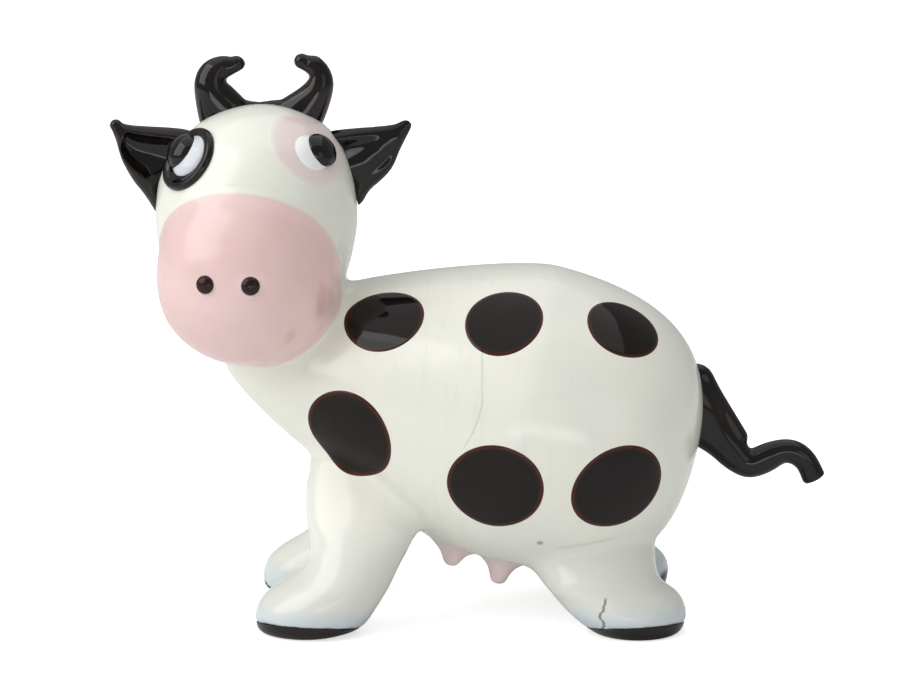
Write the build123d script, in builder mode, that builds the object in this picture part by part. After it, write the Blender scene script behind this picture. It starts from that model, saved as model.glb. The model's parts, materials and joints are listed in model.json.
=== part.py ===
from build123d import *
from math import cos, radians, sin, tan
import os

os.makedirs("parts", exist_ok=True)

# A small cow of opaque glass, worked hot from rods and fused into one piece.
# X runs from the head to the tail, the cow's left flank faces -Y, and Z = 0 is the table.
# Left and right are the cow's own. Side is -1 on its left and 1 on its right.

# Body: an egg of white glass, drawn out into the neck
body_x = 4.0
body_z = 15.46
body_radius = 11.85
rump_length = 14.2
neck_length = 24.0
body_climb = 14.6
rump_shares = (0.5, 0.85)
neck_shares = (0.36, 0.16)

# Head: an upright egg on the end of the neck
head_back = 3.1
head_rise = 9.7
head_y = -1.0
head_radius = 7.7
head_crown = 8.4
head_jaw = 10.0
jaw_shares = (0.86, 0.54)
crown_shares = (0.95, 0.4)

# Muzzle: an egg of pink glass set into the front of the head
muzzle_radius = 6.95
muzzle_low = 6.95
muzzle_high = 8.7
muzzle_low_shares = (0.55, 0.55)
muzzle_high_shares = (0.6, 0.66)
muzzle_forward = 3.2
muzzle_right = 0.5
muzzle_drop = 4.6
nostril_radius = 0.7
nostril_thickness = 0.9
nostril_middle_angle = 10.0
nostril_spread_angle = 14.4
nostril_climb_angle = 7.0

# Every bead is a round melted a little flat
bead_shares = (0.6, 0.6)

# Eyes: a patch, a white bead and a black pupil, turned from the front towards each side
patch_radius = 2.8
patch_inlay = 1.3
inlay_stand = 1.0
right_patch_thickness = 1.8
right_patch_height = 0.45
white_radius = 1.9
white_thickness = 1.2
white_height = 0.4
pupil_radius = 1.5
pupil_thickness = 1.0
pupil_height = 0.35
left_patch_angle = 36.0
right_patch_angle = -50.0
left_white_angle = 48.0
left_pupil_angle = 50.5
right_eye_angle = -50.0
left_patch_share = 0.68
right_patch_share = 0.61
left_eye_share = 0.66
right_eye_share = 0.62

# Horns: black rods curled in over the crown
horn_back = 0.45
horn_y = 0.2
horn_reach = 4.0
horn_height = 4.1
horn_base_drop = 1.4
horn_thickness = 1.4
horn_tip_radius = 0.62
left_horn_shares = [
    (0.4, -0.3, 1.2, 0.95),
    (0.64, 0.12, 1.2, 1.0),
    (0.95, 0.46, 1.02, 0.95),
    (1.09, 0.76, 0.8, 0.78),
    (1.02, 0.99, 0.62, 0.62),
    (0.86, 1.1, 0.43, 0.43),
]
right_horn_shares = [
    (0.4, -0.3, 1.2, 0.95),
    (0.64, 0.14, 1.2, 1.0),
    (0.94, 0.56, 1.02, 0.95),
    (0.94, 0.8, 0.9, 0.85),
    (0.8, 1.01, 0.64, 0.64),
    (0.58, 1.08, 0.43, 0.43),
]
left_horn_tip_share = (0.76, 1.12)
right_horn_tip_share = (0.48, 1.08)

# Ears: cupped leaves, open to the front, with a bead of glass at the tip
ear_back = 0.25
ear_low = 0.9
ear_height = 6.2
ear_reach = 11.0
ear_thickness = 1.4
ear_wall = 0.8
ear_bead_radius = 0.5
ear_shares = [
    (0.42, 0.74, 0.58, -0.06, 1.0),
    (0.56, 0.84, 0.725, 0.0, 1.0),
    (0.695, 0.92, 0.82, 0.22, 0.9),
    (0.8, 0.95, 0.905, 0.385, 0.75),
    (0.895, 0.97, 0.965, 0.62, 0.55),
    (0.955, 1.0, 1.01, 0.87, 0.34),
]
ear_bead_share = (0.985, 0.96)

# Legs: gathers of white glass pulled down to splayed feet, with black soles
foot_spread = 6.5
front_foot_x = -12.3
hind_foot_x = 12.9
far_hind_step = 0.75
front_leg_half_length = 4.65
hind_leg_half_length = 4.75
leg_half_width = 4.1
shoulder_share = 0.48
haunch_share = -0.17
sole_thickness = 0.5
sole_side_tilt = 10.0
sole_end_tilt = 3.0
front_leg_shares = [
    (0.0, 0.0, 1.0, 0.64, 0.7),
    (0.018, 0.025, 1.0, 0.83, 0.85),
    (0.043, 0.069, 1.0, 0.91, 0.93),
    (0.077, 0.114, 1.0, 0.96, 0.98),
    (0.128, 0.203, 1.0, 0.99, 1.0),
    (0.191, 0.387, 0.98, 0.93, 0.97),
    (0.254, 0.615, 0.95, 0.8, 0.9),
    (0.318, 0.747, 0.91, 0.79, 0.87),
    (0.444, 0.87, 0.79, 0.96, 0.85),
    (0.57, 0.94, 0.62, 1.06, 0.75),
    (0.7, 0.94, 0.45, 0.98, 0.6),
    (0.82, 1.0, 0.3, 0.7, 0.4),
]
hind_leg_shares = [
    (0.0, 0.0, 1.0, 0.6, 0.72),
    (0.025, 0.04, 1.0, 0.765, 0.86),
    (0.063, 0.09, 1.0, 0.86, 0.94),
    (0.107, 0.16, 1.0, 0.94, 0.99),
    (0.156, 0.245, 0.98, 0.995, 1.0),
    (0.227, 0.44, 0.95, 1.0, 0.97),
    (0.273, 0.58, 0.92, 0.98, 0.94),
    (0.33, 0.66, 0.88, 1.0, 0.9),
    (0.45, 0.68, 0.75, 1.0, 0.82),
    (0.6, 0.7, 0.58, 0.85, 0.7),
    (0.76, 0.72, 0.4, 0.6, 0.5),
]

# Tail: a black rod, broad where it joins the rump, with one wave and a cut end
tail_root_share = 0.958
tail_root_rise = 0.54
tail_reach = 9.3
tail_drop = 5.6
tail_thickness = 0.95
tail_shares = [
    (-0.36, -0.31, 2.9, 1.9),
    (0.0, 0.02, 2.8, 1.9),
    (0.14, 0.21, 2.05, 1.6),
    (0.27, 0.46, 1.55, 1.35),
    (0.4, 0.69, 1.33, 1.2),
    (0.51, 0.79, 1.18, 1.12),
    (0.66, 0.66, 1.08, 1.06),
    (0.745, 0.615, 1.0, 1.0),
    (0.85, 0.66, 0.98, 0.98),
    (0.94, 0.82, 0.95, 0.95),
    (1.0, 1.01, 0.92, 0.92),
]

# Teats: four pulled points of pink glass under the belly
teat_y = 1.6
front_teat_x = -1.2
hind_teat_x = 2.65
front_teat_length = 1.15
hind_teat_length = 1.35
teat_base_radius = 1.6
teat_tip_radius = 0.62
teat_root = 0.8

# Spots: black glass melted flush into the flanks, three above and three below on each side
upper_spot_radius = 3.15
lower_spot_radius = 3.75
spot_inlay = 1.3
spot_shares = [0.508, 0.146, -0.229, 0.523, 0.05, -0.329]
spot_height_shares = [0.9, 0.92, 0.88, 0.9, 0.925, 0.87]
spot_radii = [upper_spot_radius] * 3 + [lower_spot_radius] * 3
spot_climbs = [45.0, 47.0, 58.4, -25.7, -18.9, -8.3]
spot_turns = [3.0, 67.0, 41.0, -15.0, 29.0, 37.0]


# The plane on a form's skin where a line from inside it comes out, with its X the way given
def seat(form, start, direction, x_hint):
    point, normal = form.find_intersection_points(Axis(start, direction))[-1]
    x_hint = Vector(x_hint)
    return Plane(point, x_dir=x_hint - normal * x_hint.dot(normal), z_dir=normal)


# An egg about the X axis of its plane, spun as one half and mirrored. Each end is drawn with two
# fullness shares: of its tip, out from the axis, and of its side, along from the widest girth
def egg(plane, low_length, high_length, radius, low_shares, high_shares):
    side = (0, radius)
    low_tip = (-low_length, 0)
    high_tip = (high_length, 0)
    with BuildPart() as form:
        with BuildSketch(plane):
            with BuildLine():
                Bezier(
                    low_tip,
                    (-low_length, low_shares[0] * radius),
                    (-low_shares[1] * low_length, radius),
                    side,
                )
                Bezier(
                    side,
                    (high_shares[1] * high_length, radius),
                    (high_length, high_shares[0] * radius),
                    high_tip,
                )
                Line(high_tip, low_tip)
            make_face()
        revolve(axis=Axis(plane.origin, plane.x_dir), revolution_arc=180)
        mirror(about=plane)
    return form.part


# A gather of soft glass, lofted through ovals: each section is a plane and two half sizes
def gather(sections):
    with BuildPart() as form:
        for plane, half_x, half_y in sections:
            with BuildSketch(plane):
                with BuildLine():
                    EllipticalCenterArc((0, 0), half_x, half_y, start_angle=0, arc_size=180)
                    EllipticalCenterArc((0, 0), half_x, half_y, start_angle=180, arc_size=180)
                make_face()
        loft()
    return form.part


# Ovals square to an upright path: each station is x, z, the half height and the half depth
def path_sections(y, stations):
    sections = []
    for index, (x, z, half_height, half_depth) in enumerate(stations):
        behind = stations[max(index - 1, 0)]
        ahead = stations[min(index + 1, len(stations) - 1)]
        way = (ahead[0] - behind[0], 0, ahead[1] - behind[1])
        sections.append((Plane((x, y, z), x_dir=(0, 1, 0), z_dir=way), half_depth, half_height))
    return sections


# A flattened bead whose top stands at a height over the plane
def bead(plane, radius, thickness, height):
    half_thickness = thickness / 2
    center = plane.origin + plane.z_dir * (height - half_thickness)
    upright = Plane(center, x_dir=plane.z_dir, z_dir=plane.x_dir)
    return egg(upright, half_thickness, half_thickness, radius, bead_shares, bead_shares)


# What is cut from a form to let in an oval of other glass, down to a flat floor under its skin
def inlay(plane, half_x, half_y, turn, depth):
    with BuildPart() as tool:
        with BuildSketch(plane.offset(-depth)):
            Ellipse(half_x, half_y, rotation=turn)
        extrude(amount=depth + inlay_stand)
    return tool.part


# One finished piece: the form less every form in the list, written under its name
def make_piece(name, form, cuts):
    with BuildPart() as piece:
        add(form)
        if cuts:
            add(cuts, mode=Mode.SUBTRACT)
    piece.part.label = name
    export_step(piece.part, f"parts/{name}.step")


# Forms of the body: its plane has X towards the head and Y towards the belly
climb = radians(body_climb)
body_plane = Plane((body_x, 0, body_z), x_dir=(-cos(climb), 0, sin(climb)), z_dir=(0, -1, 0))
body_form = egg(body_plane, rump_length, neck_length, body_radius, rump_shares, neck_shares)
neck_tip = body_plane.origin + body_plane.x_dir * neck_length

# Forms of the head and the muzzle
head_center = neck_tip + Vector(head_back, head_y, head_rise)
head_plane = Plane(head_center, x_dir=(0, 0, 1), z_dir=(0, 1, 0))
head_form = egg(head_plane, head_jaw, head_crown, head_radius, jaw_shares, crown_shares)
muzzle_center = head_center - Vector(muzzle_right, muzzle_forward, muzzle_drop)
muzzle_plane = Plane(muzzle_center, x_dir=(0, 0, 1), z_dir=(0, 1, 0))
muzzle_form = egg(
    muzzle_plane, muzzle_low, muzzle_high, muzzle_radius, muzzle_low_shares, muzzle_high_shares
)


# A seat on the head, turned from the front to the cow's left, at a share of the crown's height
def face_seat(turn, rise_share):
    start = head_center + Vector(0, 0, rise_share * head_crown)
    direction = (sin(radians(turn)), -cos(radians(turn)), 0)
    return seat(head_form, start, direction, x_hint=(cos(radians(turn)), sin(radians(turn)), 0))


# A seat on the muzzle, turned from the front to the cow's left
def muzzle_seat(turn):
    level = cos(radians(nostril_climb_angle))
    direction = (level * sin(radians(turn)), -level * cos(radians(turn)), sin(radians(nostril_climb_angle)))
    return seat(muzzle_form, muzzle_center, direction, x_hint=(1, 0, 0))


# Forms of the nostrils
nostril_forms = {
    name: bead(muzzle_seat(turn), nostril_radius, nostril_thickness, nostril_thickness / 2)
    for name, turn in (
        ("left", nostril_spread_angle - nostril_middle_angle),
        ("right", -nostril_spread_angle - nostril_middle_angle),
    )
}

# Forms of the eyes: the left patch is let in flush, the right one stands proud under its bead
left_patch_tool = inlay(
    face_seat(left_patch_angle, left_patch_share), patch_radius, patch_radius, 0, patch_inlay
)
right_patch_form = bead(
    face_seat(right_patch_angle, right_patch_share),
    patch_radius,
    right_patch_thickness,
    right_patch_height,
)
left_white_seat = face_seat(left_white_angle, left_eye_share)
left_pupil_seat = face_seat(left_pupil_angle, left_eye_share).offset(white_height)
right_white_seat = face_seat(right_eye_angle, right_eye_share).offset(right_patch_height)
right_pupil_seat = right_white_seat.offset(white_height)
white_forms = {
    name: bead(eye_seat, white_radius, white_thickness, white_height)
    for name, eye_seat in (("left", left_white_seat), ("right", right_white_seat))
}
pupil_forms = {
    name: bead(eye_seat, pupil_radius, pupil_thickness, pupil_height)
    for name, eye_seat in (("left", left_pupil_seat), ("right", right_pupil_seat))
}
eye_forms = [right_patch_form, *white_forms.values(), *pupil_forms.values()]

# Forms of the horns
horn_x = head_center.X + horn_back
horn_base_z = head_center.Z + head_crown - horn_base_drop


def horn_form(side, shares, tip_share):
    stations = [
        (
            horn_x - side * across * horn_reach,
            horn_base_z + up * horn_height,
            height * horn_thickness,
            depth * horn_thickness,
        )
        for across, up, height, depth in shares
    ]
    tip_x = horn_x - side * tip_share[0] * horn_reach
    tip_z = horn_base_z + tip_share[1] * horn_height
    with BuildPart() as form:
        add(gather(path_sections(horn_y, stations)))
        with Locations((tip_x, horn_y, tip_z)):
            Sphere(horn_tip_radius)
    return form.part


left_horn_form = horn_form(-1, left_horn_shares, left_horn_tip_share)
right_horn_form = horn_form(1, right_horn_shares, right_horn_tip_share)

# Forms of the ears
ear_x = head_center.X + ear_back
ear_low_z = head_center.Z + ear_low


def ear_form(side):
    leaf = []
    hollow = []
    for top_out, top_up, low_out, low_up, depth in ear_shares:
        top = Vector(ear_x - side * top_out * ear_reach, head_y, ear_low_z + top_up * ear_height)
        low = Vector(ear_x - side * low_out * ear_reach, head_y, ear_low_z + low_up * ear_height)
        middle = (top + low) / 2
        half_height = (top - low).length / 2
        half_depth = depth * ear_thickness
        way = Vector(0, 1, 0).cross(top - low)
        leaf.append((Plane(middle, x_dir=(0, 1, 0), z_dir=way), half_depth, half_height))
        front = middle - Vector(0, half_depth, 0)
        hollow.append(
            (
                Plane(front, x_dir=(0, 1, 0), z_dir=way),
                2 * half_depth - ear_wall * depth,
                half_height - ear_wall * depth,
            )
        )
    bead_x = ear_x - side * ear_bead_share[0] * ear_reach
    bead_z = ear_low_z + ear_bead_share[1] * ear_height
    with BuildPart() as form:
        add(gather(leaf))
        add(gather(hollow[:-1]), mode=Mode.SUBTRACT)
        with Locations((bead_x, head_y, bead_z)):
            Sphere(ear_bead_radius)
    return form.part


ear_forms = {"left": ear_form(-1), "right": ear_form(1)}

# The body, with its spots let in flush
spot_tools = {}
for side, side_name in ((-1, "left"), (1, "right")):
    for index in range(len(spot_shares)):
        start = body_plane.origin + body_plane.x_dir * (spot_shares[index] * neck_length)
        rise = radians(spot_climbs[index])
        direction = Vector(0, side * cos(rise), 0) - body_plane.y_dir * sin(rise)
        spot_seat = seat(body_form, start, direction, x_hint=-body_plane.x_dir)
        spot_tools[f"spot_{side_name}_{index + 1}"] = inlay(
            spot_seat,
            spot_radii[index],
            spot_radii[index] * spot_height_shares[index],
            -side * spot_turns[index],
            spot_inlay,
        )
make_piece("body", body_form, list(spot_tools.values()))
for name, tool in spot_tools.items():
    with BuildPart() as spot:
        add(tool)
        add(body_form, mode=Mode.INTERSECT)
    make_piece(name, spot.part, [])

# The head, the muzzle and the face
make_piece("head", head_form, [body_form, left_patch_tool, *eye_forms])
make_piece("muzzle", muzzle_form, [head_form, body_form, *nostril_forms.values(), *eye_forms])
for name, form in nostril_forms.items():
    make_piece(f"nostril_{name}", form, [])
with BuildPart() as left_patch:
    add(left_patch_tool)
    add(head_form, mode=Mode.INTERSECT)
make_piece("eye_patch_left", left_patch.part, [white_forms["left"], pupil_forms["left"]])
make_piece("eye_patch_right", right_patch_form, [white_forms["right"], pupil_forms["right"]])
for name in ("left", "right"):
    make_piece(f"eye_white_{name}", white_forms[name], [pupil_forms[name]])
    make_piece(f"pupil_{name}", pupil_forms[name], [])

# The horns and the ears
make_piece("horn_left", left_horn_form, [head_form])
make_piece("horn_right", right_horn_form, [head_form, left_horn_form])
for name, form in ear_forms.items():
    make_piece(f"ear_{name}", form, [head_form, *eye_forms])

# The legs, each cut across by the top of its black sole
for end, end_name, near_x, step, half_length, joint_share, shares in (
    (-1, "front", front_foot_x, 0, front_leg_half_length, shoulder_share, front_leg_shares),
    (1, "hind", hind_foot_x, far_hind_step, hind_leg_half_length, haunch_share, hind_leg_shares),
):
    joint = body_plane.origin + body_plane.x_dir * (joint_share * neck_length)
    for side, side_name in ((-1, "left"), (1, "right")):
        foot_x = near_x if side < 0 else near_x - step
        sections = []
        for up, inward, out, length, width in shares:
            center = (foot_x + inward * (joint.X - foot_x), side * out * foot_spread, up * joint.Z)
            plane = Plane(center, x_dir=(1, 0, 0), z_dir=(0, 0, 1))
            sections.append((plane, length * half_length, width * leg_half_width))
        leg_form = gather(sections)
        sole_top = Plane(
            (foot_x, side * foot_spread, sole_thickness),
            z_dir=(-end * tan(radians(sole_end_tilt)), -side * tan(radians(sole_side_tilt)), 1),
        )
        with BuildPart() as leg:
            add(leg_form)
            split(bisect_by=sole_top, keep=Keep.TOP)
        with BuildPart() as hoof:
            add(leg_form)
            split(bisect_by=sole_top, keep=Keep.BOTTOM)
        make_piece(f"leg_{end_name}_{side_name}", leg.part, [body_form])
        make_piece(f"hoof_{end_name}_{side_name}", hoof.part, [])

# The tail
tail_stations = [
    (
        body_x + tail_root_share * rump_length + along * tail_reach,
        body_z + tail_root_rise - down * tail_drop,
        height * tail_thickness,
        depth * tail_thickness,
    )
    for along, down, height, depth in tail_shares
]
make_piece("tail", gather(path_sections(0, tail_stations)), [body_form])

# The teats
for end_name, teat_x, teat_length in (
    ("front", front_teat_x, front_teat_length),
    ("hind", hind_teat_x, hind_teat_length),
):
    for side, side_name in ((-1, "left"), (1, "right")):
        belly = seat(body_form, (teat_x, side * teat_y, body_z), (0, 0, -1), x_hint=(1, 0, 0)).origin
        with BuildPart() as teat:
            with BuildSketch(Plane(belly, x_dir=(1, 0, 0), z_dir=(0, -1, 0))):
                with BuildLine():
                    flank = Spline(
                        (teat_base_radius, 0),
                        (teat_tip_radius, -teat_length + teat_tip_radius),
                        (0, -teat_length),
                        tangents=[(-1, -1), (-1, 0)],
                    )
                    Polyline(flank @ 1, (0, teat_root), (teat_base_radius, teat_root), flank @ 0)
                make_face()
            revolve(axis=Axis(belly, (0, 0, 1)))
        make_piece(f"teat_{end_name}_{side_name}", teat.part, [body_form])
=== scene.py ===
import json
import math
from functools import cached_property

import bmesh
import bpy
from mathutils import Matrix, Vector
from mathutils.bvhtree import BVHTree


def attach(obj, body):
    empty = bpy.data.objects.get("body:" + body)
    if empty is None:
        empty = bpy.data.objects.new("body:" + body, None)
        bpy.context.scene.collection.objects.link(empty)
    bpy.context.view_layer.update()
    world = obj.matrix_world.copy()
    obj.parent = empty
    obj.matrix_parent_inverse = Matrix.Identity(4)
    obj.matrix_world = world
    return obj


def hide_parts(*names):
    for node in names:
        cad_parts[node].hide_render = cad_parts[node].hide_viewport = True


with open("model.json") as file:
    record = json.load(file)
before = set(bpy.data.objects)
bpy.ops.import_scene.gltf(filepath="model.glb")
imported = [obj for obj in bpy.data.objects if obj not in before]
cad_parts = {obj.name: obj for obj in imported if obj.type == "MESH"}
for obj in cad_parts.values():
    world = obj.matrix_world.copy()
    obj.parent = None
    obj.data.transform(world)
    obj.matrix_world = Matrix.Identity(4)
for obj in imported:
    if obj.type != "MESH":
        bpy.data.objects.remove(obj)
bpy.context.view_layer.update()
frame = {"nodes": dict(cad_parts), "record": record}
nodes = frame["nodes"]
scene = bpy.context.scene
mm = 0.001  # sizes below are millimetres, and are multiplied by this
upward = Vector((0, 0, 1))


# Meshes

def pieceFrom(name, bm, replaced):
    mesh = bpy.data.meshes.new(name)
    bm.to_mesh(mesh)
    bm.free()
    mesh.polygons.foreach_set("use_smooth", [True] * len(mesh.polygons))
    piece = bpy.data.objects.new(name, mesh)
    scene.collection.objects.link(piece)
    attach(piece, "root")
    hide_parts(*replaced)
    return piece


def addCad(bm, nodeNames, merge=0.0005):  # CAD meshes are loose triangles, so their doubles are merged
    for nodeName in nodeNames:
        bm.from_mesh(nodes[nodeName].data)
    bmesh.ops.remove_doubles(bm, verts=bm.verts, dist=merge * mm)


def addForm(bm, form):  # moves what one bmesh holds into another
    mesh = bpy.data.meshes.new("formWork")
    form.to_mesh(mesh)
    form.free()
    bm.from_mesh(mesh)
    bpy.data.meshes.remove(mesh)


def smooth(bm, verts, rounds=1, factor=0.5):
    for _ in range(rounds):
        bmesh.ops.smooth_vert(
            bm, verts=verts, factor=factor, use_axis_x=True, use_axis_y=True, use_axis_z=True
        )


def relax(bm, verts, rounds, swell=-0.52):  # smooths and swells in turn, so that the form keeps its size
    for _ in range(rounds):
        smooth(bm, verts)
        smooth(bm, verts, factor=swell)


def dropCrumbs(bm):  # keeps the largest connected shell
    unseen = set(bm.verts)
    shells = []
    while unseen:
        start = unseen.pop()
        shell = [start]
        stack = [start]
        while stack:
            for edge in stack.pop().link_edges:
                for other in edge.verts:
                    if other in unseen:
                        unseen.discard(other)
                        shell.append(other)
                        stack.append(other)
        shells.append(shell)
    shells.sort(key=len)
    for shell in shells[:-1]:
        bmesh.ops.delete(bm, geom=shell, context="VERTS")


def melt(bm, voxel, rounds):  # fuses what is in the bmesh into one skin
    mesh = bpy.data.meshes.new("meltWork")
    bm.to_mesh(mesh)
    bm.free()
    work = bpy.data.objects.new("meltWork", mesh)
    scene.collection.objects.link(work)
    remesh = work.modifiers.new("melt", "REMESH")
    remesh.mode = "VOXEL"
    remesh.voxel_size = voxel * mm
    fusedMesh = bpy.data.meshes.new_from_object(work.evaluated_get(bpy.context.evaluated_depsgraph_get()))
    fused = bmesh.new()
    fused.from_mesh(fusedMesh)
    bpy.data.objects.remove(work)
    bpy.data.meshes.remove(mesh)
    bpy.data.meshes.remove(fusedMesh)
    dropCrumbs(fused)
    relax(fused, fused.verts[:], rounds)
    fused.normal_update()
    return fused


def spinOutline(outline, turns, merge=0.0008):  # spins (radius, height) points about Z into a closed shell
    bm = bmesh.new()
    verts = [bm.verts.new((radius * mm, 0, height * mm)) for radius, height in outline]
    edges = [bm.edges.new(pair) for pair in zip(verts, verts[1:])]
    bmesh.ops.spin(
        bm, geom=verts + edges, cent=(0, 0, 0), axis=(0, 0, 1), angle=2 * math.pi, steps=turns,
        use_merge=True,
    )
    bmesh.ops.remove_doubles(bm, verts=bm.verts, dist=merge * mm)
    bmesh.ops.recalc_face_normals(bm, faces=bm.faces)
    return bm


def curvePoint(share, corners):  # a point on a cubic curve
    back = 1 - share
    weights = (back ** 3, 3 * back ** 2 * share, 3 * back * share ** 2, share ** 3)
    return tuple(sum(weight * corner[axis] for weight, corner in zip(weights, corners)) for axis in (0, 1))


def eggOutline(low, high, radius, lowShares, highShares, steps):
    lowCorners = ((0, -low), (lowShares[0] * radius, -low), (radius, -lowShares[1] * low), (radius, 0))
    highCorners = ((radius, 0), (radius, highShares[1] * high), (highShares[0] * radius, high), (0, high))
    outline = [curvePoint(index / steps, lowCorners) for index in range(steps)]
    return outline + [curvePoint(index / steps, highCorners) for index in range(steps + 1)]


def eased(value, low, high):  # 0 at low and 1 at high, and low may be the larger
    share = min(1.0, max(0.0, (value - low) / (high - low)))
    return share * share * (3 - 2 * share)


def addEgg(bm, form, steps=50, turns=130, leanFrom=1.0, leanTo=8.0):
    shell = spinOutline(eggOutline(*form["sizes"], steps), turns)
    turn = upward.rotation_difference(form["along"]).to_matrix()
    for vert in shell.verts:
        point = turn @ vert.co
        point.x += form["lean"] * mm * eased(point.z / mm, leanFrom, leanTo)
        vert.co = form["center"] + point
    addForm(bm, shell)


def flowing(points, parts=6):  # more points on one smooth line through these
    line = []
    for index in range(len(points) - 1):
        corners = [Vector(points[max(0, min(len(points) - 1, index + step))]) for step in (-1, 0, 1, 2)]
        before, start, end, after = corners
        for part in range(parts):
            share = part / parts
            line.append(tuple(0.5 * (
                2 * start + (end - before) * share + (2 * before - 5 * start + 4 * end - after) * share ** 2
                + (3 * start - before - 3 * end + after) * share ** 3
            )))
    return [(max(0.0, radius), height) for radius, height in line] + [tuple(points[-1])]


# Nodes and materials

class Wire:  # one socket, with Python's own signs for sums on it
    def __init__(self, tree, socket):
        self.tree = tree
        self.socket = socket

    def combine(self, operation, first, second):
        node = self.tree.nodes.new("ShaderNodeMath")
        node.operation = operation
        for socket, value in zip(node.inputs, (first, second)):
            feed(self.tree, socket, value)
        return Wire(self.tree, node.outputs[0])

    def __add__(self, other):
        return self.combine("ADD", self, other)

    def __sub__(self, other):
        return self.combine("SUBTRACT", self, other)

    def __rsub__(self, other):
        return self.combine("SUBTRACT", other, self)

    def __mul__(self, other):
        return self.combine("MULTIPLY", self, other)

    def __abs__(self):
        return self.combine("ABSOLUTE", self, 0)

    def atLeast(self, other):
        return self.combine("MAXIMUM", self, other)

    __radd__ = __add__
    __rmul__ = __mul__


def feed(tree, socket, value):
    if isinstance(value, Wire):
        tree.links.new(value.socket, socket)
    else:
        socket.default_value = value


class NodeWork:  # the node tree of a material or of the world
    def __init__(self, owner):
        owner.use_nodes = True
        self.tree = owner.node_tree
        self.tree.nodes.clear()

    def node(self, kind, settings=None, inputs=None):  # every node but the sums is made here
        node = self.tree.nodes.new(kind)
        for key, value in (settings or {}).items():
            setattr(node, key, value)
        for key, value in (inputs or {}).items():
            feed(self.tree, node.inputs[key], value)
        return node

    def wire(self, kind, settings=None, inputs=None, out=0):
        return Wire(self.tree, self.node(kind, settings, inputs).outputs[out])

    def ray(self, kind):  # 1 for rays of this kind
        return self.wire("ShaderNodeLightPath", out=f"Is {kind} Ray")

    def seen(self):  # 1 where the camera looks, also through glass
        return self.ray("Camera").atLeast(self.ray("Transmission"))


class Finish(NodeWork):  # a material of one Principled shader, and the nodes that feed it
    def __init__(self, name, uniform):
        self.material = bpy.data.materials.new(name)
        super().__init__(self.material)
        self.shader = self.node("ShaderNodeBsdfPrincipled", None, uniform)
        self.node("ShaderNodeOutputMaterial", None, {"Surface": Wire(self.tree, self.shader.outputs[0])})

    @cached_property
    def place(self):
        return self.wire("ShaderNodeTexCoord", out="Object")

    def stretched(self, scale, turn=(0, 0, 0)):
        return self.wire("ShaderNodeMapping", None, {
            "Vector": self.place, "Scale": scale, "Rotation": turn,
        })

    def noise(self, scale, detail=2.0, roughness=0.5, distortion=0.0, place=None):
        return self.wire("ShaderNodeTexNoise", None, {
            "Vector": place or self.place, "Scale": scale,
            "Detail": detail, "Roughness": roughness, "Distortion": distortion,
        })

    def ramp(self, value, low, high):  # 0 at low and 1 at high, eased
        return self.wire("ShaderNodeMapRange", {"interpolation_type": "SMOOTHSTEP"}, {
            "Value": value, "From Min": low, "From Max": high,
        })

    def near(self, gap, fade):  # 0 at the fade's first length and 1 at its second
        return self.ramp(gap, fade[0] * mm, fade[1] * mm)

    def blend(self, share, first, second):
        return self.wire("ShaderNodeMix", {"data_type": "RGBA"}, {0: share, 6: first, 7: second}, out=2)

    def paint(self, color, mask, mark):  # lays the colour of a mark over another
        return self.blend(mask * mark["share"], color, mark["color"])

    def axis(self, name):
        return self.wire("ShaderNodeSeparateXYZ", None, {0: self.place}, out=name)

    def distance(self, point, place=None):
        return self.wire("ShaderNodeVectorMath", {"operation": "DISTANCE"}, {
            0: place or self.place, 1: [value * mm for value in point],
        }, out=1)

    def attribute(self, name):
        return self.wire("ShaderNodeAttribute", {"attribute_name": name}, out="Fac")

    def bump(self, height, strength, distance):
        self.feed("Normal", self.wire("ShaderNodeBump", None, {
            "Height": height, "Strength": strength, "Distance": distance * mm,
        }))

    def feed(self, key, value):
        feed(self.tree, self.shader.inputs[key], value)


def put(piece, finish):
    piece.data.materials.clear()
    piece.data.materials.append(finish.material)


# Camera

def standFacing(thing, spot, aim):  # for the camera and the lamps
    scene.collection.objects.link(thing)
    thing.location = spot
    thing.rotation_euler = (aim - thing.location).to_track_quat("-Z", "Y").to_euler()


view = {
    "target": (-1.15, 0, 20.51), "elevation": 11.0, "distance": 300.0, "lens": 154.97, "sensor": 36,
    "clips": (0.01, 20),
}
lift = math.radians(view["elevation"])
camera = bpy.data.cameras.new("camera")
camera.lens = view["lens"]
camera.sensor_width = view["sensor"]
camera.clip_start, camera.clip_end = view["clips"]
cameraObject = bpy.data.objects.new("camera", camera)
target = Vector(view["target"]) * mm
backward = Vector((0, -math.cos(lift), math.sin(lift)))
standFacing(cameraObject, target + backward * (view["distance"] * mm), target)
scene.camera = cameraObject
scene.view_settings.view_transform = "Standard"

# Floor and room, both paler to the camera than as a light on the cow

stage = {
    "floorSize": 6.0, "floorColor": (0.88, 0.88, 0.88, 1), "floorRoughness": 0.9, "white": (1, 1, 1, 1),
    "seen": 0.66, "seenInGloss": 0.05, "room": 0.36,
}
floorForm = bmesh.new()
bmesh.ops.create_grid(floorForm, x_segments=1, y_segments=1, size=stage["floorSize"])
floorMesh = bpy.data.meshes.new("floor")
floorForm.to_mesh(floorMesh)
floorForm.free()
floor = bpy.data.objects.new("floor", floorMesh)
scene.collection.objects.link(floor)
paper = Finish("paleFloor", {
    "Base Color": stage["floorColor"], "Roughness": stage["floorRoughness"], "Specular IOR Level": 0.0,
    "Emission Color": stage["white"],
})
paper.feed("Emission Strength", paper.seen() * stage["seen"] + paper.ray("Glossy") * stage["seenInGloss"])
put(floor, paper)

scene.world = bpy.data.worlds.new("paleRoom")
room = NodeWork(scene.world)
roomLight = room.wire("ShaderNodeBackground", None, {
    "Color": stage["white"], "Strength": room.seen() * (1 - stage["room"]) + stage["room"],
})
room.node("ShaderNodeOutputWorld", None, {"Surface": roomLight})

# Lamps: one wide window at the left, one overhead, and two weak fills

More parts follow.
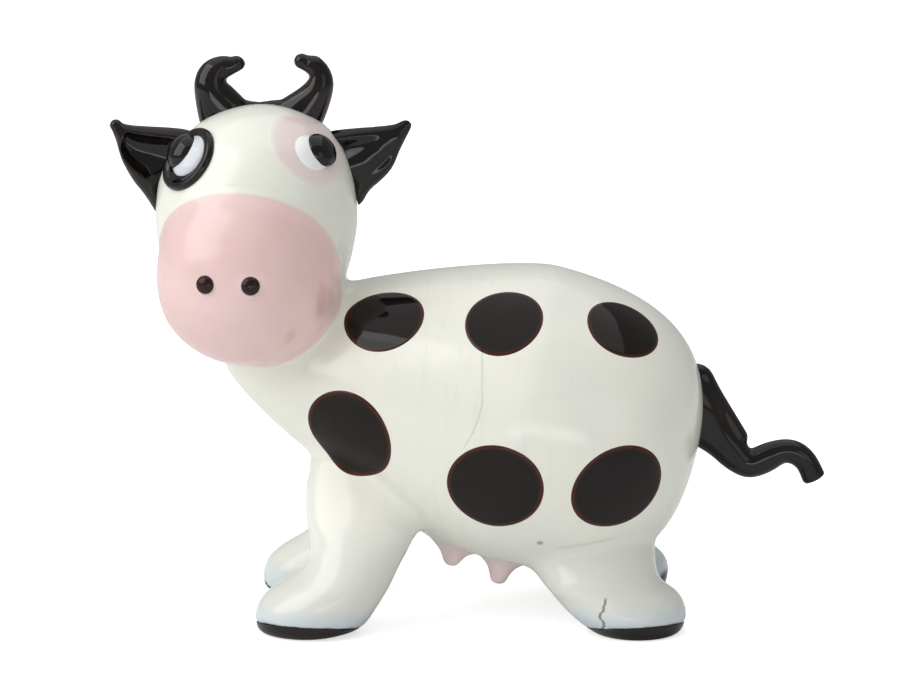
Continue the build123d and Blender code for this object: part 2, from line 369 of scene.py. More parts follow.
lamps = {
    "keyLeft": {"at": (-370, -155, 290), "size": (440, 440), "power": 1.5},
    "fillRight": {"at": (240, -280, 110), "size": (160, 160), "power": 0.06},
    "fillLow": {"at": (20, -330, 12), "size": (240, 60), "power": 0.12},
    "top": {"at": (-20, 40, 360), "size": (560, 460), "power": 0.56},
}
lampAim = Vector((0, 0, 18)) * mm
for lampName, lamp in lamps.items():
    light = bpy.data.lights.new(lampName, "AREA")
    light.shape = "RECTANGLE"
    light.size, light.size_y = (side * mm for side in lamp["size"])
    light.energy = lamp["power"]
    standFacing(bpy.data.objects.new(lampName, light), Vector(lamp["at"]) * mm, lampAim)
print("stage: camera, floor and lamps")

# What the glass finishes share

cream = {
    "glass": (0.87, 0.87, 0.785, 1), "drift": (0.825, 0.835, 0.755, 1), "cloud": 120, "fade": (0.35, 0.7),
}
waves = {"scale": 210, "detail": 1.0, "height": 0.35}


def creamColor(finish):  # milky glass, with the drift that its gathers leave
    cloud = finish.ramp(finish.noise(cream["cloud"]), *cream["fade"])
    return finish.blend(cloud, cream["glass"], cream["drift"])


def mottled(finish, look, shades="shades"):  # two shades of one glass, in clouds
    return finish.blend(finish.noise(look["cloud"], look.get("detail", 2.0)), *look[shades])


def ragged(finish, value, look):  # makes an edge that follows the value uneven
    scale, span = look["ragged"]
    return value + (finish.noise(scale) - 0.5) * span


def ripple(finish, look):  # the slow waves of glass set by hand
    finish.bump(finish.noise(waves["scale"], waves["detail"]), look["waves"], waves["height"])


def gloss(finish, look):  # uneven roughness, and the waves
    scale, span, least = look["roughness"]
    finish.feed("Roughness", finish.noise(scale) * span + least)
    ripple(finish, look)


# White glass

whiteLook = {"roughness": (330, 0.08, 0.13), "waves": 0.2, "flank": (0, -4), "wanderDetail": 3.0}
marks = {  # places, fades and ends are millimetres, and a line's ends are measured from its middle
    "wraps": {
        "grain": (1500, 500, 55), "lean": 8, "detail": 3.0, "roughness": 0.6, "distortion": 0.4,
        "streaks": (0.52, 0.72), "middle": 0.5, "fade": (12, 3),
        "share": 0.45, "color": (0.77, 0.78, 0.71, 1),
    },
    "hair": {
        "across": 1.03, "grain": 260, "wander": 0.6, "bendsBelow": 19.4, "bend": 80, "middle": 18.65,
        "ends": (4.0, 3.1), "fade": (0.1, 0.03), "share": 0.35, "color": (0.42, 0.43, 0.40, 1),
    },
    "fleck": {"at": (5.4, -9.04, 7.46), "fade": (0.34, 0.12), "share": 0.8, "color": (0.12, 0.10, 0.08, 1)},
    # painted shade: the white glass gets greyer towards the feet
    "feetShade": {"fade": (11, 2), "share": 0.7, "color": (0.71, 0.73, 0.68, 1)},
    # painted shade: a faint darker line in the crease between the chest and the near front leg
    "frontCreaseShade": {
        "through": (-7.6, 13.05), "slope": -0.893, "middle": -5.5, "ends": (2.7, 1.8), "fade": (0.9, 0.1),
        "share": 0.3, "color": (0.62, 0.61, 0.50, 1),
    },
    "halo": {"ragged": (420, 1.6 * mm), "fade": (3.2, 0.9), "share": 0.8, "color": (0.58, 0.67, 0.74, 1)},
    "crack": {
        "across": 10.2, "grain": 700, "wander": 2.2, "middle": 2.1, "ends": (1.5, 1.1),
        "fade": (0.15, 0.05), "share": 0.75, "color": (0.11, 0.075, 0.045, 1),
    },
    "farFoot": {"at": (16.2, 5.0, 2.4), "fade": (3.4, 1.4), "share": 0.6, "color": (0.50, 0.62, 0.70, 1)},
    "farSole": {
        "at": (15.7, 4.95, 1.0), "fade": (1.3, 0.6), "below": (2.2, 1.4),
        "share": 1.0, "color": (0.012, 0.012, 0.014, 1),
    },
    # painted shade: a faint darker line in the crease where the near hind leg meets the body
    "hindCreaseShade": {
        "through": (7.1, 7.0), "slope": 0.18, "middle": 8.9, "ends": (2.8, 1.8), "fade": (0.22, 0.06),
        "share": 0.28, "color": (0.50, 0.50, 0.40, 1),
    },
    "smear": {"at": (-16.0, -7.2, 34.3), "fade": (1.6, 0.3), "share": 0.16, "color": (0.86, 0.62, 0.40, 1)},
}
whiteGlass = Finish("whiteGlass", {"IOR": 1.5})
across = whiteGlass.axis("X")
height = whiteGlass.axis("Z")
nearFlank = whiteGlass.near(whiteGlass.axis("Y"), whiteLook["flank"])


def dot(mark):
    return whiteGlass.near(whiteGlass.distance(mark["at"]), mark["fade"])


def line(mark, gap, along):  # a thin line on the near flank
    ends = whiteGlass.near(abs(along - mark["middle"] * mm), mark["ends"])
    return whiteGlass.near(abs(gap), mark["fade"]) * ends * nearFlank


def uprightGap(mark):  # how far a point is from a line that wanders upwards
    grain = whiteGlass.stretched((1, 1, mark["grain"]))
    shift = whiteGlass.noise(1.0, whiteLook["wanderDetail"], place=grain)
    return across - (shift - 0.5) * (mark["wander"] * mm) - mark["across"] * mm


def slantingGap(mark):
    throughX, throughZ = mark["through"]
    return height - throughZ * mm - (across - throughX * mm) * mark["slope"]


def wrapMask(mark):  # the streaks that wrapping leaves, on the middle of the body
    grain = whiteGlass.stretched(mark["grain"], (0, math.radians(mark["lean"]), 0))
    streaks = whiteGlass.noise(1.0, mark["detail"], mark["roughness"], mark["distortion"], place=grain)
    middle = whiteGlass.near(abs(across - mark["middle"] * mm), mark["fade"])
    return whiteGlass.ramp(streaks, *mark["streaks"]) * middle


def hairMask(mark):
    low = (mark["bendsBelow"] * mm - height).atLeast(0)
    return line(mark, uprightGap(mark) + low * low * mark["bend"], height)


masks = {  # in the order that they are painted
    "wraps": wrapMask(marks["wraps"]),
    "hair": hairMask(marks["hair"]),
    "fleck": dot(marks["fleck"]),
    # painted shade, greyer towards the feet
    "feetShade": whiteGlass.near(height, marks["feetShade"]["fade"]),
    # painted crease shade between the chest and the front leg
    "frontCreaseShade": line(marks["frontCreaseShade"], slantingGap(marks["frontCreaseShade"]), across),
    "halo": whiteGlass.near(ragged(whiteGlass, height, marks["halo"]), marks["halo"]["fade"]),
    "crack": line(marks["crack"], uprightGap(marks["crack"]), height),
    "farFoot": dot(marks["farFoot"]),
    "farSole": dot(marks["farSole"]) * whiteGlass.near(height, marks["farSole"]["below"]),
    # painted crease shade where the hind leg meets the body
    "hindCreaseShade": line(marks["hindCreaseShade"], slantingGap(marks["hindCreaseShade"]), across),
    "smear": dot(marks["smear"]),
}
whiteColor = creamColor(whiteGlass)
for markName, mask in masks.items():
    whiteColor = whiteGlass.paint(whiteColor, mask, marks[markName])
whiteGlass.feed("Base Color", whiteColor)
gloss(whiteGlass, whiteLook)

# Muzzle glass: rose, paler by its edge and round the nostrils, with painted shade in two folds, and painted
# light that makes it brighter and warmer towards the right

muzzleLook = {
    "shades": ((0.80, 0.565, 0.54, 1), (0.83, 0.61, 0.59, 1)), "cloud": 160, "cloudFade": (0.3, 0.7),
    "ragged": (500, 0.05), "edgeFade": (-0.12, 0.1), "roughness": (330, 0.08, 0.17), "waves": 0.2,
    "pale": {"fade": (0.9, 0.1), "share": 0.3, "color": (0.86, 0.72, 0.69, 1)},
    "rings": {"fade": (1.05, 0.8), "share": 0.35, "color": (0.90, 0.76, 0.73, 1)},
    "paintedLight": {"fade": (-15.5, -9.5), "share": 0.6, "color": (0.93, 0.66, 0.62, 1)},
    # painted shade: darker pink in two folds on the muzzle's right side
    "foldShade": {
        "places": ((-10.95, -8.1, 25.87), (-13.3, -9.14, 23.05)), "reaches": (0.85, 0.6), "core": 0.45,
        "squash": 0.45, "share": 0.4, "color": (0.76, 0.42, 0.39, 1),
    },
}
muzzleGlass = Finish("muzzleGlass", {"IOR": 1.5})
nostrils = [nodes[f"nostril_{side}"] for side in ("left", "right")]
roseCloud = muzzleGlass.ramp(muzzleGlass.noise(muzzleLook["cloud"]), *muzzleLook["cloudFade"])
rose = muzzleGlass.blend(roseCloud, *muzzleLook["shades"])
muzzleReach = ragged(muzzleGlass, muzzleGlass.attribute("pinkReach"), muzzleLook)
pale = muzzleGlass.ramp(muzzleReach, *muzzleLook["pale"]["fade"])
rose = muzzleGlass.paint(rose, pale, muzzleLook["pale"])
for nostril in nostrils:
    corners = [Vector(corner) for corner in nostril.bound_box]
    middle = nostril.matrix_world @ (sum(corners, Vector()) / len(corners))
    ring = muzzleGlass.near(muzzleGlass.distance(middle / mm), muzzleLook["rings"]["fade"])
    rose = muzzleGlass.paint(rose, ring, muzzleLook["rings"])
# painted light: the muzzle's right side brighter and warmer, as where light passes through the glass
paintedLight = muzzleGlass.near(muzzleGlass.axis("X"), muzzleLook["paintedLight"]["fade"])
rose = muzzleGlass.paint(rose, paintedLight, muzzleLook["paintedLight"])
# painted shade in the muzzle's two folds
foldShade = muzzleLook["foldShade"]
squashed = muzzleGlass.stretched((1, 1, foldShade["squash"]))
for (foldX, foldY, foldZ), foldReach in zip(foldShade["places"], foldShade["reaches"]):
    foldGap = muzzleGlass.distance((foldX, foldY, foldZ * foldShade["squash"]), place=squashed)
    foldShadeMask = muzzleGlass.near(foldGap, (foldReach, foldReach * foldShade["core"]))
    rose = muzzleGlass.paint(rose, foldShadeMask, foldShade)
muzzleGlass.feed("Base Color", muzzleGlass.blend(
    muzzleGlass.ramp(muzzleReach, *muzzleLook["edgeFade"]), creamColor(muzzleGlass), rose
))
gloss(muzzleGlass, muzzleLook)

# Pink glass of the cheek and the teats, which fades to the white round it

cheekLook = {
    "shades": ((0.82, 0.69, 0.66, 1), (0.86, 0.75, 0.72, 1)), "cloud": 300, "ragged": (600, 0.1),
    "rimFade": (0.8, 0.99), "waves": 0.2,
}
cheekGlass = Finish("softPinkGlass", {"IOR": 1.5, "Roughness": 0.12})
cheekRim = ragged(cheekGlass, cheekGlass.attribute("rim"), cheekLook)
cheekGlass.feed("Base Color", cheekGlass.blend(
    cheekGlass.ramp(cheekRim, *cheekLook["rimFade"]), mottled(cheekGlass, cheekLook), creamColor(cheekGlass)
))
ripple(cheekGlass, cheekLook)

# The teats' pink is paler than the cheek's: painted light that brightens the teats, which face down into
# the belly's shade
litTeatLook = {
    "shades": ((0.98, 0.78, 0.76, 1), (0.98, 0.84, 0.82, 1)), "cloud": 300,
    "rimFade": (0.86, 0.99), "waves": 0.2,
}
litTeatGlass = Finish("litTeatGlass", {"IOR": 1.4, "Roughness": 0.15})
teatRim = litTeatGlass.attribute("rim")
litTeatGlass.feed("Base Color", litTeatGlass.blend(
    litTeatGlass.ramp(teatRim, *litTeatLook["rimFade"]), mottled(litTeatGlass, litTeatLook), creamColor(litTeatGlass)
))
ripple(litTeatGlass, litTeatLook)

# Black glass: nostrils, spots with a brown rim, pupils, and the horns, ears, tail, patch and soles

nostrilLook = {
    "shades": ((0.008, 0.0035, 0.003, 1), (0.035, 0.010, 0.007, 1)), "cloud": 900,
    "roughness": (500, 0.1, 0.1), "waves": 0.2,
}
nostrilGlass = Finish("nostrilGlass", {"IOR": 1.35})
nostrilGlass.feed("Base Color", mottled(nostrilGlass, nostrilLook))
gloss(nostrilGlass, nostrilLook)

spotLook = {
    "shades": ((0.004, 0.0038, 0.0032, 1), (0.012, 0.006, 0.0045, 1)), "cloud": 260, "detail": 3.0,
    "ragged": (900, 0.03), "rimFade": (0.87, 0.98), "rimColor": (0.070, 0.018, 0.009, 1),
    "roughness": (500, 0.05, 0.02), "waves": 0.25,
}
spotGlass = Finish("spotGlass", {"IOR": 1.33})
spotRim = ragged(spotGlass, spotGlass.attribute("rim"), spotLook)
spotGlass.feed("Base Color", spotGlass.blend(
    spotGlass.ramp(spotRim, *spotLook["rimFade"]), mottled(spotGlass, spotLook), spotLook["rimColor"]
))
gloss(spotGlass, spotLook)

pupilLook = {
    "shades": ((0.003, 0.003, 0.003, 1), (0.008, 0.007, 0.006, 1)), "cloud": 500,
    "roughness": (500, 0.04, 0.03), "waves": 0.2,
}
pupilGlass = Finish("pupilGlass", {"IOR": 1.42})
pupilGlass.feed("Base Color", mottled(pupilGlass, pupilLook))
gloss(pupilGlass, pupilLook)

blackLook = {
    "shades": ((0.004, 0.004, 0.0035, 1), (0.015, 0.008, 0.006, 1)), "cloud": 240, "thin": (0.45, 0.75),
    "distortion": 0.5, "roughness": (500, 0.07, 0.03), "waves": 0.5,
}
blackGlass = Finish("blackGlass", {"IOR": 1.42})
thin = blackGlass.noise(blackLook["cloud"], distortion=blackLook["distortion"])
thin = blackGlass.ramp(thin, *blackLook["thin"])
blackGlass.feed("Base Color", blackGlass.blend(thin, *blackLook["shades"]))
gloss(blackGlass, blackLook)

# Eye glass: white, and bluish in the far eye, which is in shade

eyeLook = {
    "shades": ((0.90, 0.91, 0.90, 1), (0.83, 0.85, 0.86, 1)),
    "farShades": ((0.68, 0.72, 0.76, 1), (0.56, 0.60, 0.64, 1)), "farFade": (-18.5, -20.5),
    "cloud": 900, "roughness": (700, 0.05, 0.04), "waves": 0.15,
}
eyeGlass = Finish("eyeGlass", {"IOR": 1.5})
eyeGlass.feed("Base Color", eyeGlass.blend(
    eyeGlass.near(eyeGlass.axis("X"), eyeLook["farFade"]),
    mottled(eyeGlass, eyeLook), mottled(eyeGlass, eyeLook, "farShades"),
))
gloss(eyeGlass, eyeLook)

slotFinish = {
    "white_glass": whiteGlass, "pink_glass": cheekGlass, "black_glass": blackGlass, "eye_glass": eyeGlass,
}
for subpart in frame["record"]["subparts"]:
    if subpart["node"] in nodes:
        put(nodes[subpart["node"]], slotFinish[subpart["material_slot"]])
for nostril in nostrils:
    put(nostril, nostrilGlass)
print("stage: finishes")

# The main forms, with the sizes of the solids: below, above, radius, and how full each end is

climb = math.radians(14.6)  # the body's middle line rises to the neck
body = {
    "center": Vector((4.0, 0, 15.46)) * mm, "sizes": (13.87, 24.0, 11.85, (0.52, 0.87), (0.36, 0.16)),
    "along": Vector((-math.cos(climb), 0, math.sin(climb))), "lean": 0,
}
bodyLength = body["sizes"][1]
neckTip = body["center"] + body["along"] * (bodyLength * mm)
head = {
    "center": neckTip + Vector((3.1, -1.0, 9.7)) * mm, "along": upward, "lean": 0.4,
    "sizes": (10.0, 8.4, 7.7, (0.75, 0.38), (0.62, 0.6)),
}
muzzle = {
    "center": head["center"] + Vector((-0.5, -3.2, -4.6)) * mm, "along": upward, "lean": 0,
    "sizes": (6.35, 8.6, 6.95, (0.55, 0.55), (0.6, 0.66)),
}
eggs = {"body": body, "head": head, "muzzle": muzzle}
legNames = [f"leg_{end}_{side}" for end in ("front", "hind") for side in ("left", "right")]

# White skin: body, head and legs fused, with soft creases where two of them meet

skin = {
    "voxel": 0.247, "rounds": 10, "creaseReach": 2.2, "creaseRounds": 40, "creaseAbove": 1.2, "sunk": 0.3,
    "rayFrom": 60,
}
belly = {"lift": 0.65, "front": (-2.5, 0.5), "back": (9.0, 6.0), "aside": (6.5, 3.0), "under": (9.5, 6.5)}
skinForm = bmesh.new()
addCad(skinForm, legNames)
for egg in eggs.values():
    addEgg(skinForm, egg)
skinForm = melt(skinForm, skin["voxel"], skin["rounds"])


def treeOf(add, form):
    bm = bmesh.new()
    add(bm, form)
    tree = BVHTree.FromBMesh(bm)
    bm.free()
    return tree


formTrees = {eggName: treeOf(addEgg, egg) for eggName, egg in eggs.items()}
for legName in legNames:
    formTrees[legName] = treeOf(addCad, [legName])


def isCrease(point):
    reach = skin["creaseReach"] * mm
    near = [tree for tree in formTrees.values() if tree.find_nearest(point, reach)[0] is not None]
    return len(near) > 1


def liftBelly(bm):  # its lowest line is higher between the legs than the egg's
    for vert in bm.verts:
        x, y, z = (value / mm for value in vert.co)
        between = eased(x, *belly["front"]) * eased(x, *belly["back"]) * eased(abs(y), *belly["aside"])
        vert.co.z += belly["lift"] * mm * between * eased(z, *belly["under"])


creaseVerts = [
    vert for vert in skinForm.verts if isCrease(vert.co) and vert.co.z > skin["creaseAbove"] * mm
]
smooth(skinForm, creaseVerts, skin["creaseRounds"])
liftBelly(skinForm)
skinForm.normal_update()
skinTree = BVHTree.FromBMesh(skinForm)
print("stage: skin of", len(skinForm.verts), "points,", len(creaseVerts), "in creases")


def onSkin(start, direction):  # where a line from inside leaves the skin
    far = start + direction * (skin["rayFrom"] * mm)
    return skinTree.ray_cast(far, -direction)[:2]


# Muzzle: the skin's own front, lifted off as a shell, pink where the muzzle's egg is outermost

muzzleShell = {
    "margin": 0.4, "wall": 0.6, "sinkSpan": 0.35, "slack": 0.0001,
    "before": -6, "above": 12, "elsewhere": -9.0,  # where it lies, and what its reach is anywhere else
}


def signedDistance(tree, point):
    nearest, normal = tree.find_nearest(point)[:2]
    gap = point - nearest
    return math.copysign(gap.length, gap.dot(normal)) / mm


def pinkReach(point):  # above 0 on the muzzle and below 0 on what is round it
    if point.x > muzzleShell["before"] * mm or point.z < muzzleShell["above"] * mm:
        return muzzleShell["elsewhere"]
    outer = signedDistance(formTrees["muzzle"], point)
    inner = min(signedDistance(formTrees[formName], point) for formName in ("head", "body"))
    return inner - outer


reachLayer = skinForm.verts.layers.float.new("pinkReach")
for vert in skinForm.verts:
    vert[reachLayer] = pinkReach(vert.co)

rimReach = -muzzleShell["margin"]
rimVerts = []  # the skin is cut along one line of equal reach, which both pieces share
for edge in skinForm.edges[:]:
    first, second = (vert[reachLayer] - rimReach for vert in edge.verts)
    if first * second < 0:
        rimVert = bmesh.utils.edge_split(edge, edge.verts[0], first / (first - second))[1]
        rimVert[reachLayer] = rimReach
        rimVerts.append(rimVert)
bmesh.ops.connect_verts(skinForm, verts=rimVerts)
skinForm.normal_update()

shell = skinForm.copy()
shellLayer = shell.verts.layers.float["pinkReach"]
outside = [vert for vert in shell.verts if vert[shellLayer] < rimReach - muzzleShell["slack"]]
bmesh.ops.delete(shell, geom=outside, context="VERTS")
dropCrumbs(shell)
for edge in shell.edges:
    edge.smooth = not edge.is_boundary
muzzlePiece = pieceFrom("muzzleShell", shell, ["muzzle"])
wall = muzzlePiece.modifiers.new("wall", "SOLIDIFY")
wall.thickness = muzzleShell["wall"] * mm
wall.offset = -1
put(muzzlePiece, muzzleGlass)

sunkSkin = skinForm.copy()
sunkLayer = sunkSkin.verts.layers.float["pinkReach"]
for vert in sunkSkin.verts:  # under the shell the skin lies deeper
    share = min(1.0, max(0.0, (vert[sunkLayer] - rimReach) / muzzleShell["sinkSpan"]))
    vert.co -= vert.normal * (share * skin["sunk"] * mm)
skinPiece = pieceFrom("whiteSkin", sunkSkin, ["body", "head", *legNames])
put(skinPiece, whiteGlass)
print("stage: muzzle and skin")

# Glass melted on to the skin: an outline spun about a seat, that follows what is under it

melted = {"turns": 96, "innerShare": 0.93, "rayFrom": 4, "rounds": 4}


def meltOn(name, replaced, seatLine, outline, finish, high=1.0, turn=0.0, upright=False):
    start, direction, hint = seatLine
    seat, normal = onSkin(start, direction)
    xAxis = (hint - normal * hint.dot(normal)).normalized()
    yAxis = normal.cross(xAxis)
    widest = max(radius for radius, _ in outline) * mm
    angle = math.radians(turn)
    bm = spinOutline(outline, melted["turns"])
    rimLayer = bm.verts.layers.float.new("rim")
    inner = []
    for vert in bm.verts:
        share = math.hypot(vert.co.x, vert.co.y) / widest
        vert[rimLayer] = share
        if share < melted["innerShare"]:
            inner.append(vert)
        x = vert.co.x
        y = vert.co.y * high
        point = seat + xAxis * (x * math.cos(angle) - y * math.sin(angle))
        point += yAxis * (x * math.sin(angle) + y * math.cos(angle))
        hit, hitNormal = skinTree.ray_cast(point + normal * (melted["rayFrom"] * mm), -normal)[:2]
        if hit is None:
            hit, hitNormal = point, normal
        vert.co = hit + (normal if upright else hitNormal) * vert.co.z
    smooth(bm, inner, melted["rounds"])
    bmesh.ops.recalc_face_normals(bm, faces=bm.faces)
    put(pieceFrom(name, bm, replaced), finish)


flat = {"edge": 0.22, "foot": 0.06, "rings": 22, "angleStep": 15, "underShares": (0.98, 0.5, 0)}


def flatOutline(radius, stand, under):  # a thin lens with a round edge
    edge = flat["edge"]
    outline = [((radius - edge) * index / flat["rings"], stand) for index in range(flat["rings"])]
    for angle in range(0, 91, flat["angleStep"]):
        out = math.sin(math.radians(angle))
        down = 1 - math.cos(math.radians(angle))
        outline.append((radius - edge + edge * out, stand - (stand + flat["foot"]) * down))
    return outline + [(radius * share, -under) for share in flat["underShares"]]


spots = {  # places are shares of the body's length, and climbs, radii, heights and turns go with them
    "places": (0.508, 0.146, -0.229, 0.523, 0.05, -0.329),
    "climbs": (45.0, 47.0, 58.4, -25.7, -18.9, -8.3),
    "radii": (3.15, 3.15, 3.15, 3.75, 3.75, 3.75),
    "heights": (0.9, 0.92, 0.88, 0.9, 0.925, 0.87),
    "turns": (3.0, 67.0, 41.0, -15.0, 29.0, 37.0),
    "stand": 0.045, "under": 0.5,
}
bodyTop = Vector((math.sin(climb), 0, math.cos(climb)))
for side, sideName in ((-1, "left"), (1, "right")):
    for index in range(len(spots["places"])):
        rise = math.radians(spots["climbs"][index])
        seatLine = (
            body["center"] + body["along"] * (spots["places"][index] * bodyLength * mm),
            Vector((0, side * math.cos(rise), 0)) + bodyTop * math.sin(rise),
            -body["along"],
        )
        meltOn(
            f"spot{sideName.capitalize()}{index + 1}", [f"spot_{sideName}_{index + 1}"],
            seatLine, flatOutline(spots["radii"][index], spots["stand"], spots["under"]), spotGlass,
            high=spots["heights"][index], turn=-side * spots["turns"][index],
        )
print("stage: spots")

# Face: a pink cheek let in flush, and a black patch with a rolled rim on the other side

face = {  # each by the pixel that its seat shows at, and its radius
    "cheek": ((312, 144.5), 3.4), "whiteLeft": ((313, 151.5), 1.58), "pupilLeft": ((321, 150.5), 1.36),
    "patch": ((186, 158), 2.6), "whiteRight": ((189, 155.5), 1.75), "pupilRight": ((184.5, 153), 1.42),
    "pixelsToLens": 3900, "middle": (453, 350), "inward": 2,
    "cheekStand": 0.02, "cheekUnder": 0.5,
}
beads = {  # how high each eye white stands, and how far its pupil bulges
    "Left": (0.4, 0.6), "Right": (0.62, 0.8),
    "whiteHalf": 0.55, "pupilRise": 0.7, "fullness": 0.85, "steps": 14,
}
patch = {  # radius and height of each point, and the rim's radii are measured in from the patch's own
    "top": ((0, 0.12), (0.9, 0.13), (1.6, 0.15)),
    "rim": (
        (0.78, 0.2), (0.58, 0.34), (0.38, 0.42), (0.2, 0.4), (0.06, 0.24), (0, 0.04),
        (0.04, -0.2), (0.3, -0.42),
    ),
    "under": ((1.2, -0.5), (0, -0.5)),
}


def pixelSeat(pixel):  # a line out of the skin at the place where a pixel of the view meets it
    sideways = (pixel[0] - face["middle"][0]) / face["pixelsToLens"]
    up = (face["middle"][1] - pixel[1]) / face["pixelsToLens"]
    direction = Vector((
        sideways, math.cos(lift) + up * math.sin(lift), up * math.cos(lift) - math.sin(lift)
    )).normalized()
    point, normal = skinTree.ray_cast(cameraObject.location, direction)[:2]
    return point - normal * (face["inward"] * mm), normal, Vector((1, 0, 0))


def beadOutline(radius, top, half):  # a flattened bead whose top is at a height over the skin
    angles = [math.pi * (0.5 - index / beads["steps"]) for index in range(beads["steps"] + 1)]
    return [
        (radius * abs(math.cos(angle)) ** beads["fullness"], top - half + half * math.sin(angle))
        for angle in angles
    ]


cheekPixel, cheekRadius = face["cheek"]
cheekOutline = flatOutline(cheekRadius, face["cheekStand"], face["cheekUnder"])
meltOn("cheek", ["eye_patch_left"], pixelSeat(cheekPixel), cheekOutline, cheekGlass)
patchPixel, patchRadius = face["patch"]
patchRim = tuple((patchRadius - inset, rimHeight) for inset, rimHeight in patch["rim"])
patchOutline = flowing(patch["top"] + patchRim + patch["under"])
meltOn("blackPatch", ["eye_patch_right"], pixelSeat(patchPixel), patchOutline, blackGlass)
for sideName in ("Left", "Right"):
    whiteTop, bulge = beads[sideName]
    whitePixel, whiteRadius = face[f"white{sideName}"]
    pupilPixel, pupilRadius = face[f"pupil{sideName}"]
    meltOn(
        f"eyeWhite{sideName}", [f"eye_white_{sideName.lower()}"], pixelSeat(whitePixel),
        beadOutline(whiteRadius, whiteTop, beads["whiteHalf"]), eyeGlass, upright=True,
    )
    meltOn(
        f"pupil{sideName}", [f"pupil_{sideName.lower()}"], pixelSeat(pupilPixel),
        beadOutline(pupilRadius, whiteTop + bulge * beads["pupilRise"], bulge), pupilGlass, upright=True,
    )
print("stage: face")

# Teats: soft points drawn out of a pink film on the belly

teats = {
    "pairs": {"front": (-1.05, 1.5), "hind": (2.65, 1.95)},  # where along the belly, and how long
    "aside": 1.6, "from": 15.46,
    "tip": ((0, 0), (0.34, 0.06), (0.6, 0.28)),  # radius, and how far back from the tip
    "sides": ((0.8, 0.6), (1.1, 0.34), (1.6, 0.13)),  # radius, and share of the length
    "film": ((2.1, 0.03), (2.4, -0.06), (2.2, -0.35), (1.0, -0.45), (0, -0.45)),  # radius and height
}
for endName, (teatX, length) in teats["pairs"].items():
    tip = tuple((radius, length - back) for radius, back in teats["tip"])
    sides = tuple((radius, length * share) for radius, share in teats["sides"])
    teatOutline = flowing(tip + sides + teats["film"])
    for side, sideName in ((-1, "left"), (1, "right")):
        start = Vector((teatX, side * teats["aside"], teats["from"])) * mm
        meltOn(
            f"teat{endName.capitalize()}{sideName.capitalize()}",
            [f"teat_{endName}_{sideName}"], (start, -upward, Vector((1, 0, 0))), teatOutline, litTeatGlass,
            upright=True,
        )
print("stage: teats")

# Horns, ears and tail: the solids, softened as glass is by the flame

softMelt = {"voxel": 0.1, "rounds": 4}
crownX = -15.9  # the middle between the horns
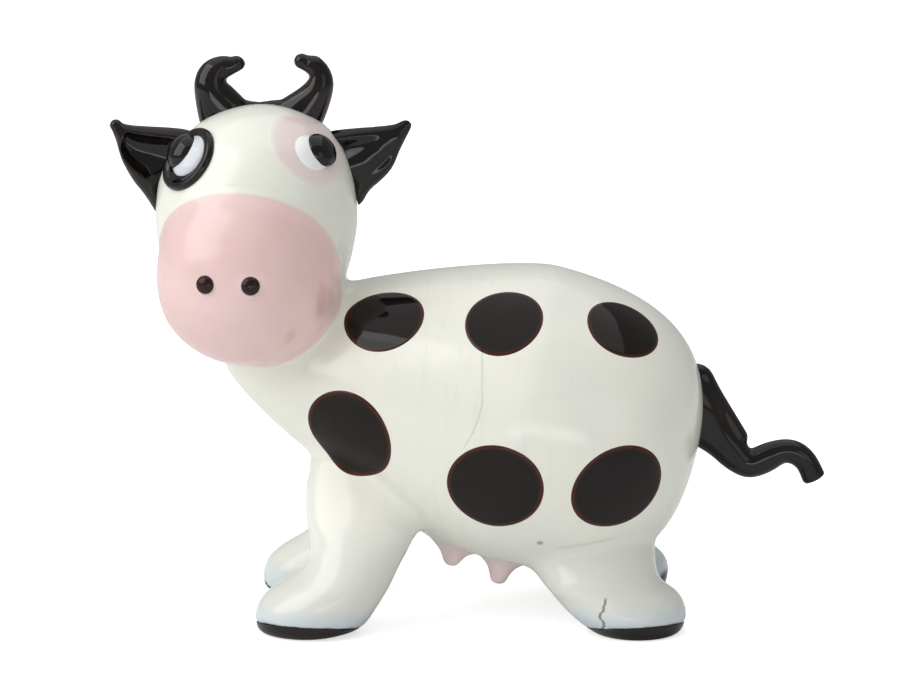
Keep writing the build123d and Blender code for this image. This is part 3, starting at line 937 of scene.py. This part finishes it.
# Drops fill a piece out, and are two ends and the radius at each. Pulls run the roots into the softer skin:
# millimetres along x or z, or aside from the crown, eased over spans of the measures that are named.
# "out" is the distance from the head's middle.
soft = {
    "hornLeft": {
        "node": "horn_left", "rounds": 14,
        "drops": (
            ((-13.4, 0.1, 38.85), (-15.9, 0.3, 39.42), 1.25, 0.3),
            ((-11.75, 0.2, 42.4), (-12.7, 0.2, 42.82), 0.86, 0.52),
        ),
        "pulls": (
            ({"aside": -0.35, "z": -1.3}, (("z", 40.8, 38.8), ("aside", 1.2, 3.6))),
            ({"aside": 0.4}, (("z", 39.8, 40.9), ("z", 42.3, 41.6), ("aside", 4.6, 3.0))),
        ),
    },
    "hornRight": {
        "node": "horn_right", "rounds": 14,
        "drops": (
            ((-18.2, 0.1, 38.85), (-15.9, 0.3, 39.42), 1.25, 0.3),
            ((-19.4, 0.2, 41.8), (-17.45, 0.2, 42.6), 0.9, 0.56),
        ),
        "pulls": (
            ({"aside": -0.1, "z": -1.3}, (("z", 40.8, 38.8), ("aside", 1.2, 3.6))),
            ({"aside": 0.1}, (("z", 39.8, 40.9), ("z", 42.3, 41.6), ("aside", 4.6, 3.0))),
        ),
    },
    "earLeft": {
        "node": "ear_left", "rounds": 36, "hollowRounds": 160, "hollowFacing": -0.05,
        "drops": (((-8.2, -0.95, 34.7), (-6.3, -1.0, 36.7), 1.05, 0.75),),
        "pulls": (
            ({"z": 0.2}, (("z", 35.0, 32.2),)),
            ({"x": 0.35}, (("z", 35.5, 37.5), ("out", 9.5, 11.5))),
            ({"x": -1.7}, (("out", 9.2, 7.2), ("z", 32.4, 34.4))),
        ),
    },
    "earRight": {
        "node": "ear_right", "rounds": 10,
        "drops": (),
        "pulls": (
            ({"z": -0.85}, (("z", 35.0, 32.4),)),
            ({"x": 1.9}, (("out", 9.2, 7.2), ("z", 32.8, 34.8))),
            ({"x": 0.15}, (("z", 34.0, 32.4),)),
        ),
    },
    "tailRod": {
        "node": "tail", "rounds": 12,
        "drops": (((18.6, 0, 18.1), (21.35, 0, 13.65), 0.85, 0.8),),
        "pulls": (
            ({"z": 0.75}, (("x", 20.4, 17.4), ("z", 15.5, 18.5))),
            ({"x": -0.3}, (("x", 19.5, 18.0),)),
            ({"x": -0.5}, (("x", 24.5, 22.0),)),
        ),
    },
}


def addDrop(bm, start, end, startRadius, endRadius, segments=40):  # a cone with a ball at each end
    start, end = Vector(start) * mm, Vector(end) * mm
    turn = upward.rotation_difference(end - start).to_matrix()
    drop = bmesh.new()
    bmesh.ops.create_cone(
        drop, cap_ends=True, segments=segments, radius1=startRadius * mm, radius2=endRadius * mm,
        depth=(end - start).length,
    )
    bmesh.ops.rotate(drop, verts=drop.verts, matrix=turn)
    bmesh.ops.translate(drop, verts=drop.verts, vec=(start + end) / 2)
    for center, radius in ((start, startRadius), (end, endRadius)):
        ball = bmesh.ops.create_uvsphere(
            drop, u_segments=segments, v_segments=segments // 2, radius=radius * mm
        )
        bmesh.ops.translate(drop, verts=ball["verts"], vec=center)
    addForm(bm, drop)


def reshape(point, pulls):
    at = dict(zip("xyz", (value / mm for value in point)))
    at["out"] = abs(at["x"] - head["center"].x / mm)
    for moves, spans in pulls:
        sideways = at["x"] - crownX
        at["aside"] = abs(sideways)
        share = math.prod(eased(at[measure], low, high) for measure, low, high in spans)
        at["x"] += moves.get("x", 0) * share + math.copysign(1, sideways) * moves.get("aside", 0) * share
        at["z"] += moves.get("z", 0) * share
    return Vector((at["x"], at["y"], at["z"])) * mm


for softName, piece in soft.items():
    bm = bmesh.new()
    addCad(bm, [piece["node"]])
    for drop in piece["drops"]:
        addDrop(bm, *drop)
    bm = melt(bm, softMelt["voxel"], softMelt["rounds"])
    for vert in bm.verts:
        vert.co = reshape(vert.co, piece["pulls"])
    smooth(bm, bm.verts[:], piece["rounds"])
    if "hollowRounds" in piece:  # the leaf is folded almost shut, so its hollow is shallow
        bm.normal_update()
        hollow = [vert for vert in bm.verts if vert.normal.y < piece["hollowFacing"]]
        smooth(bm, hollow, piece["hollowRounds"])
    put(pieceFrom(softName, bm, [piece["node"]]), blackGlass)
print("stage: horns, ears and tail")

print("stage: done")
